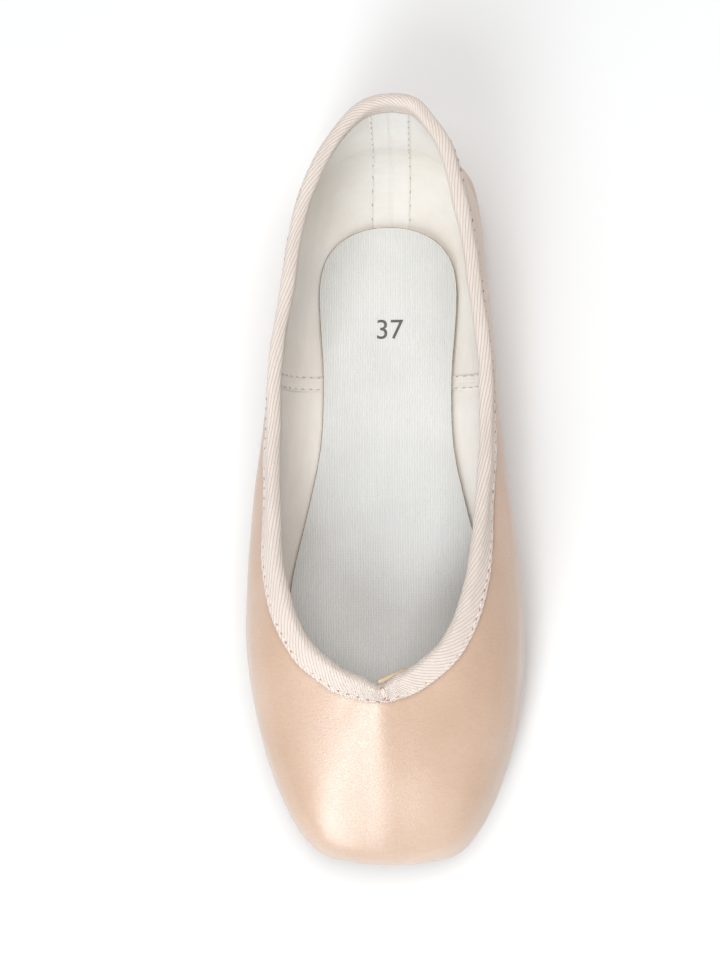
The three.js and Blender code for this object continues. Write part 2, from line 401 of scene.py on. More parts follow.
def cottonMaterial(name, colour, shade, thread):
    # plain weave, one thread over and one under, with slubs along it
    material, nodes, links, shader = startMaterial(name)
    place = nodes.new("ShaderNodeTexCoord")
    cloth = place.outputs["UV"]
    across = waveOn(nodes, links, cloth, bands(thread), "X", 1.2, 2)
    upward = waveOn(nodes, links, cloth, bands(thread), "Y", 1.2, 2)
    slub = noiseOn(nodes, links, mapped(nodes, links, cloth, (120, 700, 1)), 1, 4, 0.6)
    broad = noiseOn(nodes, links, place.outputs["Object"], 38, 3, 0.5)
    tone = colourRamp(nodes, links, broad, [(0.3, shade), (0.62, colour)])
    mottle = colourRamp(nodes, links, slub, [(0.35, (0.965, 0.965, 0.96)), (0.65, (1, 1, 1))])
    links.new(blendColour(nodes, links, "MULTIPLY", 0.8, tone, mottle), shader.inputs["Base Color"])
    setSockets(shader, {"Roughness": 0.9, "Sheen Weight": 0.15, "Specular IOR Level": 0.25})
    weave = calc(nodes, links, "ADD", across, upward)
    under = bumpFrom(nodes, links, None, broad, 0.0008, 0.3)
    under = bumpFrom(nodes, links, None, slub, 0.0001, 0.3, under)
    bumpFrom(nodes, links, shader, weave, 0.00008, 0.35, under)
    return material


twill = {
    "colour": linear(252, 241, 233),
    # the darker second colour is painted shade for the grooves between the ribs, not the tape's own colour
    "paintedGrooveShade": linear(218, 190, 172),
    "picks": 3800,  # threads in a metre along each rib
    "slant": 25,  # degrees between the ribs and the tape's edge
    "pitch": 1.0 * mm,
    "height": 0.15 * mm,
    "thickness": 0.75 * mm,
}


def twillMaterial():
    # the UV map counts ribs across and metres along each rib
    material, nodes, links, shader = startMaterial("twillTape")
    place = nodes.new("ShaderNodeTexCoord")
    split = nodes.new("ShaderNodeSeparateXYZ")
    links.new(place.outputs["UV"], split.inputs["Vector"])
    # across each rib: a mask for the painted shade of the grooves
    count = calc(nodes, links, "FRACT", split.outputs["X"])
    away = calc(nodes, links, "ABSOLUTE", calc(nodes, links, "SUBTRACT", count, 0.5))
    paintedGrooveShade = calc(nodes, links, "SUBTRACT", 1.0, calc(nodes, links, "MULTIPLY", away, 2.0))
    shifted = calc(nodes, links, "MULTIPLY", split.outputs["X"], 0.5)  # half a pick from rib to rib
    pick = calc(nodes, links, "MULTIPLY_ADD", split.outputs["Y"], twill["picks"], shifted)
    step = calc(nodes, links, "FRACT", pick)
    yarn = calc(nodes, links, "ABSOLUTE", calc(nodes, links, "SUBTRACT", step, 0.5))
    fuzz = noiseOn(nodes, links, place.outputs["Object"], 2500, 3, 0.6)
    broad = noiseOn(nodes, links, place.outputs["Object"], 60, 3, 0.5)
    # painted shade: the tape is coloured darker across each rib, where its grooves fall in shade
    tone = colourRamp(nodes, links, paintedGrooveShade, [(0.62, twill["colour"]), (1.0, twill["paintedGrooveShade"])])
    worn = colourRamp(nodes, links, broad, [(0.3, (0.94, 0.92, 0.9)), (0.7, (1, 1, 1))])
    tinted = blendColour(nodes, links, "MULTIPLY", 0.5, tone, worn)
    speck = colourRamp(nodes, links, fuzz, [(0.35, (0.93, 0.9, 0.88)), (0.6, (1, 1, 1))])
    specked = blendColour(nodes, links, "MULTIPLY", 0.5, tinted, speck)
    # painted shade: darker in the hollows between the picks, where the yarn bump is lowest
    picks = colourRamp(nodes, links, yarn, [(0.04, (0.91, 0.88, 0.86)), (0.3, (1, 1, 1))])
    links.new(blendColour(nodes, links, "MULTIPLY", 0.8, specked, picks), shader.inputs["Base Color"])
    setSockets(shader, {"Roughness": 0.82, "Sheen Weight": 0.2, "Specular IOR Level": 0.3})
    under = bumpFrom(nodes, links, None, yarn, 0.0003, 0.8)
    bumpFrom(nodes, links, shader, fuzz, 0.00006, 0.4, under)
    return material


insoleWeave = {
    "colour": linear(223, 222, 220),
    "shade": linear(213, 212, 209),
    "lengthRibs": 0.78 * mm,
    "crossRibs": 0.62 * mm,
}


def ribbedClothMaterial():
    # insole cloth: fine ribs run the length of the shoe, crossed by finer ones
    material, nodes, links, shader = startMaterial("ribbedInsoleCloth")
    place = nodes.new("ShaderNodeTexCoord")
    spot = place.outputs["Object"]
    lengthways = mapped(nodes, links, spot, (1, 0.04, 0))
    crossways = mapped(nodes, links, spot, (0.3, 1, 0))
    lengthRibs = waveOn(nodes, links, lengthways, bands(insoleWeave["lengthRibs"]), "X", 0.5, 2)
    crossRibs = waveOn(nodes, links, crossways, bands(insoleWeave["crossRibs"]), "Y", 0.8, 2)
    broad = noiseOn(nodes, links, spot, 30, 4, 0.55)
    fuzz = noiseOn(nodes, links, spot, 1900, 3, 0.6)
    tone = colourRamp(nodes, links, broad, [(0.3, insoleWeave["shade"]), (0.65, insoleWeave["colour"])])
    # painted shade: darker lines in the valleys between the lengthwise ribs, where the bump is lowest
    ribValleyShade = colourRamp(nodes, links, lengthRibs, [(0.0, (0.9, 0.9, 0.89)), (0.45, (1, 1, 1))])
    ribbed = blendColour(nodes, links, "MULTIPLY", 0.8, tone, ribValleyShade)
    speck = colourRamp(nodes, links, fuzz, [(0.3, (0.93, 0.93, 0.93)), (0.6, (1, 1, 1))])
    links.new(blendColour(nodes, links, "MULTIPLY", 0.5, ribbed, speck), shader.inputs["Base Color"])
    setSockets(shader, {"Roughness": 0.92, "Specular IOR Level": 0.2, "Sheen Weight": 0.1})
    weave = calc(nodes, links, "MULTIPLY_ADD", crossRibs, 0.4, lengthRibs)
    under = bumpFrom(nodes, links, None, weave, 0.00016, 0.7)
    bumpFrom(nodes, links, shader, fuzz, 0.00008, 0.35, under)
    return material


leather = {
    "light": linear(214, 186, 154),
    "colour": linear(206, 175, 142),
    "dark": linear(196, 164, 130),
    "poresPerMetre": 1300,
}


def leatherMaterial():
    material, nodes, links, shader = startMaterial("buffedLeather")
    place = nodes.new("ShaderNodeTexCoord")
    spot = place.outputs["Object"]
    broad = noiseOn(nodes, links, spot, 40, 5, 0.6)
    fibre = noiseOn(nodes, links, mapped(nodes, links, spot, (1, 0.35, 1)), 900, 4, 0.7)
    pores = addNode(nodes, "ShaderNodeTexVoronoi", {"Scale": leather["poresPerMetre"]})
    links.new(spot, pores.inputs["Vector"])
    tone = colourRamp(nodes, links, broad, [(0.25, leather["dark"]), (0.5, leather["colour"]),
                                            (0.8, leather["light"])])
    nap = colourRamp(nodes, links, fibre, [(0.3, (0.86, 0.84, 0.82)), (0.65, (1, 1, 1))])
    links.new(blendColour(nodes, links, "MULTIPLY", 0.7, tone, nap), shader.inputs["Base Color"])
    links.new(calc(nodes, links, "MULTIPLY_ADD", broad, 0.2, 0.62), shader.inputs["Roughness"])
    setSockets(shader, {"Specular IOR Level": 0.3})
    under = bumpFrom(nodes, links, None, pores.outputs["Distance"], 0.00015, 0.5)
    bumpFrom(nodes, links, shader, fibre, 0.0001, 0.6, under)
    return material


def plainThreadMaterial(name, light, dark, scale=4000):
    material, nodes, links, shader = startMaterial(name)
    place = nodes.new("ShaderNodeTexCoord")
    twist = noiseOn(nodes, links, place.outputs["Object"], scale, 2, 0.5)
    tone = colourRamp(nodes, links, twist, [(0.35, dark), (0.65, light)])
    links.new(tone, shader.inputs["Base Color"])
    setSockets(shader, {"Roughness": 0.7, "Specular IOR Level": 0.35})
    bumpFrom(nodes, links, shader, twist, 0.00006, 0.5)
    return material


def elasticMaterial():
    material, nodes, links, shader = startMaterial("elasticCord")
    place = nodes.new("ShaderNodeTexCoord")
    strands = waveOn(nodes, links, place.outputs["UV"], bands(0.3 * mm), "Y", 0.4, 1)
    picks = waveOn(nodes, links, place.outputs["UV"], bands(0.5 * mm), "X", 0.4, 1)
    # painted shade: darker in the hollows between the strands, where the bump is lowest
    tone = colourRamp(nodes, links, strands, [(0.1, linear(208, 184, 154)), (0.6, linear(236, 220, 198))])
    links.new(tone, shader.inputs["Base Color"])
    setSockets(shader, {"Roughness": 0.5})
    bumpFrom(nodes, links, shader, calc(nodes, links, "ADD", strands, picks), 0.00008, 0.5)
    return material


satinCloth = satinMaterial()
liningCloth = cottonMaterial("liningCotton", linear(238, 234, 229), linear(233, 225, 216), 0.45 * mm)
tapeCloth = cottonMaterial("seamTapeCotton", linear(240, 237, 233), linear(234, 228, 221), 0.4 * mm)
tapeTwill = twillMaterial()
insoleCloth = ribbedClothMaterial()
soleLeather = leatherMaterial()
paleThread = plainThreadMaterial("paleThread", linear(246, 236, 228), linear(226, 208, 196))
liningThread = plainThreadMaterial("liningThread", linear(244, 242, 238), linear(224, 220, 214))
# grey marks put in the lining's needle holes: painted shade
greyPaintedHoleShade = plainThreadMaterial("greyPaintedHoleShade", linear(208, 200, 190), linear(176, 168, 158))
# reddish-brown marks put in the needle holes: painted shade
paintedHoleShade = plainThreadMaterial("paintedHoleShade", linear(196, 142, 122), linear(160, 108, 92))
boardEdge = plainThreadMaterial("insoleBoard", linear(176, 160, 140), linear(140, 124, 106), 900)
printInk = plainThreadMaterial("printInk", linear(104, 102, 98), linear(78, 76, 73), 2500)
elasticCloth = elasticMaterial()
print("stage: materials")


satinShape = {
    "thickness": 0.7 * mm,
    "rowsBetween": 4,
    "ridgeHeight": 0.22 * mm,
    "ridgeWidth": 4.6 * mm,
    "ridgeCentre": 0.4 * mm,
    "ridgeLeast": 0.2,  # what is left of it by the throat
    "toePleats": 3.6 * mm,
    "heelPleats": 4.5 * mm,
    "pleatDepth": 0.9 * mm,
    "backGroove": (0.35 * mm, 0.45 * mm),  # depth, half width
    "backWelt": (0.12 * mm, 1.3 * mm, 0.7 * mm),  # height, from the seam, half width
    "sideSeam": 35 * mm,
    "sideGroove": (0.3 * mm, 0.9 * mm),
    "dents": 0.14 * mm,
    "puckers": 0.1 * mm,
}
# where along the shoe the ridge starts and fades, and the toe and heel pleats fade
alongShoe = {
    "ridgeStart": (-117 * mm, -100 * mm),
    "ridgeFade": (-76 * mm, -56 * mm),
    "toeFade": (-88 * mm, -66 * mm),
    "heelFade": (74 * mm, 88 * mm),
}


def ringSpread(endSteps, sideSteps):
    # ring places, closer together round the toe and the heel, starting at the heel seam
    toeRibs, sideRibs = 17, 47  # counted from the toe centre
    places = []
    for rib in range(ribs):
        fromToe = min(rib, ribs - rib)
        steps = sideSteps if toeRibs <= fromToe <= sideRibs else endSteps
        places += [rib + step / steps for step in range(steps)]
    half = next(n for n, place in enumerate(places) if place >= ribs / 2)
    return np.array(places[half:] + places[:half])


def makeUpper():
    last = wallRows - 1
    rows = np.linspace(0, last, last * satinShape["rowsBetween"] + 1)
    points = fineGrid(upperGrid[:, :wallRows], ringSpread(10, 4), rows)
    normals = sheetNormals(points)
    x, y = points[..., 0], points[..., 1]
    across, upward = arcAcross(points), arcUpward(points)
    around = across[:-1, None]
    relief = np.zeros_like(x)
    # a soft crest down the middle of the vamp; by the throat the frame has its own
    up = normals[..., 2] > 0.1
    fade = (1 - satinShape["ridgeLeast"]) * bump(y, *alongShoe["ridgeFade"])
    crest = bump(y, *alongShoe["ridgeStart"]) * (1 - fade)
    fromCrest = hill(x - satinShape["ridgeCentre"], satinShape["ridgeWidth"])
    relief += up * satinShape["ridgeHeight"] * fromCrest * crest
    # gathers where the satin turns under the toe and the heel, deepest by the sole
    turnIn = 1 - bump(np.broadcast_to(rows, x.shape), 3.2, 6.2)
    toe = 1 - bump(y, *alongShoe["toeFade"])
    heel = bump(y, *alongShoe["heelFade"])
    wander = 0.8 * softNoise(points, 0.03, 5, 2)
    for share, pitch in ((toe, satinShape["toePleats"]), (heel, satinShape["heelPleats"])):
        fold = (around / pitch + 0.18 * wander) % 1
        tooth = np.abs(np.sin(math.pi * fold)) ** 0.85  # round crests, narrow valleys
        uneven = 0.78 + 0.3 * softNoise(points, 0.016, 6, 1)
        relief += satinShape["pleatDepth"] * turnIn**1.4 * share * uneven * (tooth - 0.4)
    # seams: one groove at the back, one on each side
    back = np.where(y > 50 * mm, np.abs(x), 1)
    deep, wide = satinShape["backGroove"]
    relief -= deep * hill(back, wide)
    high, away, wide = satinShape["backWelt"]
    relief += high * hill(back - away, wide)
    deep, wide = satinShape["sideGroove"]
    relief -= deep * hill(y - satinShape["sideSeam"], wide)
    # slack cloth: small dents, and short puckers under the binding
    relief += satinShape["dents"] * softNoise(points, 0.045, 11) * bump(upward, 4 * mm, 20 * mm)
    fromTop = upward[:, -1:] - upward
    underTape = hill(fromTop - 5.5 * mm, 3.2 * mm)
    relief += satinShape["puckers"] * underTape * softNoise(points * [1, 1, 0.3], 0.009, 3, 2)
    points = points + normals * relief[..., None]
    piece = sheetPiece("satinUpper", points, across, upward, satinCloth)
    thicken(piece, satinShape["thickness"])
    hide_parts("upper")
    return piece


satinUpper = makeUpper()
print("stage: satin upper,", len(satinUpper.data.polygons), "faces")


liningShape = {
    "thickness": 0.6 * mm,
    "backTape": 12.2 * mm,
    "stitchRows": 11.1 * mm,
    "backPitch": 4.6 * mm,
    "sideSeam": 35 * mm,
    "sideTape": 5.2 * mm,
    "sideStitches": 3.8 * mm,
    "sidePitch": 2.4 * mm,
    "slack": 0.3,  # how far the heel wall gives towards a straight slope
    "sink": 0.1 * mm,  # into the wall, clear of the binding
    "dents": 0.16 * mm,
    "creases": 0.08 * mm,
}
# the same ribs, turned to face into the shoe: from the sole margin up to the top edge
innerGrid = np.roll(upperGrid[::-1, wallRows:][:, ::-1], 1, axis=0)


def slackHeel(grid):
    # the soft back wall slopes in a little from the top edge to the insole
    points = grid.copy()
    wall = points[:, 2:14]  # the rows between the insole and the top edge
    reach = arcUpward(wall)
    share = (reach / reach[:, -1:])[..., None]
    chord = wall[:, :1] + (wall[:, -1:] - wall[:, :1]) * share
    atHeel = bump(wall[:, 4, 1], 45 * mm, 85 * mm)[:, None, None]
    points[:, 2:14] = wall + (chord - wall) * liningShape["slack"] * np.sin(math.pi * share) * atHeel
    return points


innerGrid = slackHeel(innerGrid)


def makeLining():
    between = 4  # points from rib to rib and from row to row
    rows = np.linspace(0, wallRows - 1, (wallRows - 1) * between + 1)
    places = np.roll(np.arange(ribs * between) / between, -(ribs * between // 2))
    points = fineGrid(innerGrid, places, rows)
    normals = sheetNormals(points)
    upward = arcUpward(points)
    relief = liningShape["dents"] * softNoise(points, 0.03, 21) * bump(upward, 2 * mm, 12 * mm)
    relief += liningShape["creases"] * softNoise(points * [1, 1, 2.5], 0.012, 22, 2)
    points = points + normals * (relief - liningShape["sink"])[..., None]
    piece = sheetPiece("cottonLining", points, arcAcross(points), upward, liningCloth)
    thicken(piece, liningShape["thickness"])
    return piece


cottonLining = makeLining()
print("stage: lining,", len(cottonLining.data.polygons), "faces")


def stitchShape():
    # one stitch, a millimetre long along X and one thick: its ends dip into the cloth
    bpy.ops.object.select_all(action="DESELECT")
    bpy.ops.mesh.primitive_uv_sphere_add(segments=8, ring_count=5, radius=0.5)
    stitch = bpy.context.object
    bpy.ops.object.mode_set(mode="EDIT")
    bpy.ops.mesh.select_all(action="SELECT")
    bpy.ops.transform.rotate(value=math.pi / 2, orient_axis="Y", center_override=(0, 0, 0))
    bpy.ops.object.mode_set(mode="OBJECT")
    shape = np.array([list(vert.co) for vert in stitch.data.vertices])
    faces = [list(face.vertices) for face in stitch.data.polygons]
    bpy.data.objects.remove(stitch)
    shape[:, 2] -= 0.9 * shape[:, 0] ** 2
    return shape, faces


stitchPoints, stitchFaces = stitchShape()


def sew(name, material, seams):
    # seams: lists of (place, along, outward, length, width); every stitch goes in one mesh
    vertices, faces = [], []
    for place, along, outward, length, width in seams:
        side = np.cross(outward, along)
        local = stitchPoints * [length, width, width]
        faces += [[corner + len(vertices) for corner in face] for face in stitchFaces]
        vertices += list(place + local[:, :1] * along + local[:, 1:2] * side + local[:, 2:] * outward)
    return newMesh(name, vertices, faces, material)


def orthonormal(along, outward):
    outward = outward - along * np.dot(along, outward)
    return along, outward / np.linalg.norm(outward)


def placesAt(grid, row, axis, values, span):
    # ring places where one coordinate takes the given values, on one row
    fine = np.linspace(*span, 240)
    line = pointsOn(grid, fine, row)[:, axis]
    order = np.argsort(line)
    return np.interp(values, line[order], fine[order])


# where each seam of the lining crosses axis 0 (X) or 1 (Y), its lean per row and its span of ribs
sideSeam = liningShape["sideSeam"]
liningSeamLines = {
    "backSeamTape": {"axis": 0, "centre": 0.85 * mm, "lean": 0.15 * mm, "direction": 1, "span": (48, 60)},
    "rightSeamTape": {"axis": 1, "centre": sideSeam, "lean": 0, "direction": -1, "span": (62, 90)},
    "leftSeamTape": {"axis": 1, "centre": sideSeam, "lean": 0, "direction": 1, "span": (18, 46)},
}


def placesBeside(grid, seam, row, offsets):
    values = seam["centre"] + seam["lean"] * row + seam["direction"] * np.asarray(offsets)
    return placesAt(grid, row, seam["axis"], values, seam["span"])


def seamStrip(name, grid, rows, width, lift, material, grooveDepth):
    # a narrow strip of cloth laid up a wall, with a groove where two edges meet
    offsets = np.linspace(-0.5, 0.5, 25) * width
    points = np.stack([pointsOn(grid, placesBeside(grid, liningSeamLines[name], row, offsets), row)
                       for row in rows], axis=1)
    normals = sheetNormals(points, closed=False)
    edge = 1 - (2 * offsets / width) ** 8
    height = lift * edge - grooveDepth * hill(offsets, 0.24 * mm)
    upward = arcUpward(points)
    wrinkle = np.sin(upward / (0.42 * mm) + 2.5 * softNoise(points, 0.006, 41, 2))
    relief = height[:, None] + 0.055 * mm * wrinkle * hill(offsets, 0.42 * width)[:, None]
    points = points + normals * relief[..., None]
    across = np.concatenate([offsets, offsets[-1:]])
    piece = sheetPiece(name, points, across, upward, material, closed=False)
    thicken(piece, 0.3 * mm)
    return piece


def seamStitches(name, grid, rows, offset, pitch, length, width, seed):
    # thread, and painted shade for its needle holes, up a strip, at one distance from its middle
    seam = liningSeamLines[name]
    line = np.array([pointsOn(grid, placesBeside(grid, seam, row, [offset]), row)[0] for row in rows])
    reach = reachAlong(line)
    rng = random.Random(seed)
    threads, holeShades = [], []
    for row in np.interp(evenReach(reach, pitch), reach, rows):
        spots, along, outward = framesOn(grid, placesBeside(grid, seam, row, [offset]), row)
        up = unit(np.cross(outward, along))[0]
        out = outward[0]
        spot = spots[0] + out * 0.3 * mm
        threads.append((spot, up, out, length * rng.uniform(0.9, 1.05), width))
        # a grey mark halfway to the next stitch: painted shade in the needle hole
        gap = spot + up * pitch / 2 + out * 0.03 * mm
        holeShades.append((gap, up, out, 1.1 * mm * rng.uniform(0.7, 1.3), 0.4 * mm))
    return threads, holeShades


def makeLiningSeams():
    rows = np.linspace(0.12, 14.4, 100)  # from just above the insole to under the binding
    sewn = rows[rows < 13.2]  # the binding covers the rest
    back = seamStrip("backSeamTape", innerGrid, rows, liningShape["backTape"], 0.22 * mm, tapeCloth, 0.5 * mm)
    pieces = [back]
    threads, holeShades = [], []
    for sign in (-1, 1):
        made = seamStitches("backSeamTape", innerGrid, sewn, sign * liningShape["stitchRows"] / 2,
                            liningShape["backPitch"], 3.2 * mm, 0.36 * mm, 3 + sign)
        threads += made[0]
        holeShades += made[1]
    for name in ("rightSeamTape", "leftSeamTape"):
        side = seamStrip(name, innerGrid, rows, liningShape["sideTape"], 0.2 * mm, liningCloth, 0.1 * mm)
        pieces.append(side)
        for sign in (-1, 1):
            made = seamStitches(name, innerGrid, sewn, sign * liningShape["sideStitches"] / 2,
                                liningShape["sidePitch"], 1.6 * mm, 0.3 * mm, 5 + sign)
            threads += made[0]
            holeShades += made[1]
    pieces += [sew("liningStitches", liningThread, threads), sew("liningPaintedHoleShade", greyPaintedHoleShade, holeShades)]
    return pieces


liningSeams = makeLiningSeams()
print("stage: lining seams")


bindingShape = {
    "columnsPerRib": 5,
    "stitchRow": 0.35,
    "stitchFromEdge": 0.95 * mm,
    "stitchPitch": 3.0 * mm,
    "stitchLength": 2.1 * mm,
    "stitchWidth": 0.36 * mm,
    "tackRow": 1.7,
    "tackThreads": 3,
    "tackLength": 3.6 * mm,
    "tackWidth": 0.36 * mm,
    "tackPitch": 0.34 * mm,
    "tackCentre": 0.5 * mm,
    "flattened": 0.5 * mm,
    "selvedge": 0.14 * mm,
    "stitchDip": 0.1 * mm,
}
tapeGrid = bindingGrid[:, :9]
# rows across the tape, closer together at the sewn edge and where it folds over
rowsAcross = np.array([0, 0.12, 0.25, 0.38, 0.5, 0.7, 0.9, 1.1, 1.3, 1.5, 1.7, 1.9, 2.15, 2.4, 2.7,
                       3, 3.35, 3.7, 4, 4.3, 4.65, 5, 5.3, 5.6, 5.85, 6.1, 6.4, 6.8, 7.2, 7.6, 8])


def makeBinding():
    tall = smoothRows(tapeGrid.transpose(1, 0, 2), rowsAcross, False)  # rows, then ribs
    steps = np.linalg.norm(np.diff(tall, axis=0), axis=2).mean(1)
    width = np.concatenate([[0], np.cumsum(steps)])
    middle = tall[16]  # near the fold
    length = np.linalg.norm(np.roll(middle, -1, 0) - middle, axis=1).sum()
    slant = math.radians(twill["slant"])
    twillRibs = round(length / (twill["pitch"] / math.sin(slant)))
    columns = twillRibs * bindingShape["columnsPerRib"]
    places = np.arange(columns) / columns * ribs
    lean = -width / math.tan(slant) / length * ribs
    around = (places[:, None] + lean[None]) / ribs * length
    flat = np.stack([around, np.broadcast_to(width, around.shape), 0 * around], -1)
    sway = 0.16 * mm * softNoise(flat, 0.005, 35, 2) / length * ribs
    points = np.stack([smoothRows(row[:, None], places + shift + drift, True)[:, 0]
                       for row, shift, drift in zip(tall, lean, sway.T)], axis=1)
    normals = sheetNormals(points)
    share = (np.arange(columns) % bindingShape["columnsPerRib"]) / bindingShape["columnsPerRib"]
    ridge = 1 - np.abs(2 * share - 1) ** 2.2
    fade = bump(width, 0.45 * mm, 1.0 * mm) * (1 - bump(width, width[-1] - 0.8 * mm, width[-1] - 0.3 * mm))
    relief = twill["height"] * ridge[:, None] * fade[None]
    # a rolled selvedge, and a dip along the stitches
    relief += bindingShape["selvedge"] * hill(width, 0.4 * mm)[None]
    pull = 0.5 + 0.5 * np.cos(2 * math.pi * around / bindingShape["stitchPitch"])
    sewn = hill(width - bindingShape["stitchFromEdge"], 0.45 * mm)[None]
    relief -= bindingShape["stitchDip"] * sewn * (0.4 + 0.6 * pull)
    relief += 0.24 * mm * softNoise(points, 0.015, 31, 2) + 0.07 * mm * softNoise(points, 0.004, 36, 2)
    # pressed flatter than a tube along the fold
    relief -= bindingShape["flattened"] * hill(rowsAcross - 3.9, 1.4)[None]
    # the sewn edge wanders, drawn in at every stitch
    outward = unit(points[:, :1] - points[:, 3:4])
    wander = 0.22 * mm * softNoise(points[:, :1], 0.02, 34, 2) + 0.12 * mm * (pull[:, :1] - 0.5)
    points = points + outward * (wander * (1 - bump(width, 0, 2.2 * mm))[None])[..., None]
    # gathers at the throat, where the two ends are caught together
    x = points[..., 0]
    atFront = points[..., 1] < -40 * mm
    folds = np.sin(x / (0.55 * mm) + 3 * softNoise(points, 0.01, 33, 1))
    relief += 0.16 * mm * hill(x, 7 * mm) * atFront * folds * bump(width, 1.2 * mm, 3 * mm)[None]
    relief -= 0.45 * mm * hill(x - bindingShape["tackCentre"], 0.8 * mm) * atFront
    points = points + normals * relief[..., None]
    across = np.arange(columns + 1) / bindingShape["columnsPerRib"]
    upward = np.broadcast_to(width, points.shape[:2])
    piece = sheetPiece("bindingTape", points, across, upward, tapeTwill)
    thicken(piece, twill["thickness"])
    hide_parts("collar_binding")
    return piece


bindingTape = makeBinding()
print("stage: binding,", len(bindingTape.data.polygons), "faces")


def makeBindingStitches():
    rng = random.Random(7)
    threads, holeShades = [], []
    row, half = bindingShape["stitchRow"], bindingShape["stitchPitch"] / 2
    places = evenPlaces(tapeGrid, row, bindingShape["stitchPitch"])
    for spot, run, out in zip(*framesOn(tapeGrid, places, row)):
        run, out = orthonormal(run, out)
        centre = spot + np.cross(out, run) * rng.uniform(-0.06, 0.06) * mm
        length = bindingShape["stitchLength"] * rng.uniform(0.92, 1.06)
        threads.append((centre + out * 0.02 * mm, run, out, length, bindingShape["stitchWidth"]))
        # a dark mark halfway to the next stitch: painted shade in the needle hole
        holeShade = centre + run * half + out * 0.03 * mm
        holeShades.append((holeShade, run, out, 1.0 * mm * rng.uniform(0.8, 1.2), 0.34 * mm))
    # a tack over the two ends of the tape at the throat
    row, length, wide = bindingShape["tackRow"], bindingShape["tackLength"], bindingShape["tackWidth"]
    for number in range(bindingShape["tackThreads"]):
        fromMiddle = number - 0.5 * (bindingShape["tackThreads"] - 1)
        offset = fromMiddle * bindingShape["tackPitch"] + bindingShape["tackCentre"]
        spots, along, outward = framesOn(tapeGrid, placesAt(tapeGrid, row, 0, [offset], (-6, 6)), row)
        up = unit(np.cross(outward, along))[0]
        up, out = orthonormal(unit(up + along[0] * rng.uniform(-0.12, 0.12)), outward[0])
        spot = spots[0] - out * 0.1 * mm + up * rng.uniform(-0.25, 0.25) * mm
        threads.append((spot, up, out, length, wide))
        for sign in (-1, 1):
            # dark marks at the tack's ends: painted shade in the needle holes
            holeShade = spot + up * sign * length * 0.47 + out * 0.02 * mm
            holeShades.append((holeShade, up, out, 0.5 * mm, wide))
    pieces = [sew("bindingStitches", paleThread, threads), sew("bindingPaintedHoleShade", paintedHoleShade, holeShades)]
    return pieces


bindingStitches, bindingHoleShadeMarks = makeBindingStitches()


insoleShape = {"round": 0.45 * mm, "clothUpTo": 0.86}  # steeper faces are the board's bare edge


def copyOfNode(name, nodeName):
    copy = mergedCopy(nodeName)
    mesh = bpy.data.meshes.new(name)
    copy.to_mesh(mesh)
    copy.free()
    piece = bpy.data.objects.new(name, mesh)
    bpy.context.scene.collection.objects.link(piece)
    return piece


def roundEdges(piece, width):
    applyModifier(piece, "BEVEL", width=width, segments=3, limit_method="ANGLE", angle_limit=math.radians(30))
    piece.data.shade_smooth()
    applyModifier(piece, "WEIGHTED_NORMAL", keep_sharp=True)


def makeInsole():
    piece = copyOfNode("insoleBoard", "insole")
    roundEdges(piece, insoleShape["round"])
    piece.data.materials.append(insoleCloth)
    piece.data.materials.append(boardEdge)
    for face in piece.data.polygons:
        face.material_index = 0 if face.normal.z > insoleShape["clothUpTo"] else 1
    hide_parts("insole")
    return piece


insoleBoard = makeInsole()


outsoleShape = {
    "edgeRound": 0.35 * mm,
    "channelFromEdge": 2.4 * mm,
    "channelWidth": 0.45 * mm,
    "channelDepth": 0.35 * mm,
    "stitchPitch": 4.2 * mm,
    "stitchLength": 3.3 * mm,
    "stitchWidth": 0.5 * mm,
    "stitchLift": 0.14 * mm,  # up into the channel
}
facingDown = -0.85  # a face whose normal points lower than this is on the underside


def undersideLine(piece, inward):
    # the edge of the flat underside, moved inward by a distance, as a closed line
    copy = bmesh.new()
    copy.from_mesh(piece.data)
    edges = [edge for edge in copy.edges
             if sum(face.normal.z < facingDown for face in edge.link_faces) == 1]
    beside = {}
    for edge in edges:
        for vert in edge.verts:
            beside.setdefault(vert, []).append(edge.other_vert(vert))
    line = [edges[0].verts[0], edges[0].verts[1]]
    while True:
        ahead = next(vert for vert in beside[line[-1]] if vert != line[-2])
        if ahead == line[0]:
            break
        line.append(ahead)
    points = np.array([list(vert.co) for vert in line])
    copy.free()
    heights = points[np.argsort(points[:, 1])][:, 1:]
    run = unit((np.roll(points, -1, 0) - np.roll(points, 1, 0)) * [1, 1, 0])
    side = np.cross([0, 0, 1.0], run)
    side *= np.sign(((points.mean(0) - points) * side).sum())
    moved = points + side * inward
    moved[:, 2] = np.interp(moved[:, 1], heights[:, 0], heights[:, 1])
    return moved


def channelStitches(line):
    ends = np.concatenate([line, line[:1]])
    reach = reachAlong(ends)

    def spotAt(place):
        return np.array([np.interp(place, reach, ends[:, axis]) for axis in range(3)])

    threads = []
    for place in evenReach(reach, outsoleShape["stitchPitch"]):
        along = unit(spotAt(place + mm) - spotAt(place - mm))
        run, out = orthonormal(along, np.array([0, 0, -1.0]))
        spot = spotAt(place) - out * outsoleShape["stitchLift"]
        threads.append((spot, run, out, outsoleShape["stitchLength"], outsoleShape["stitchWidth"]))
    return threads


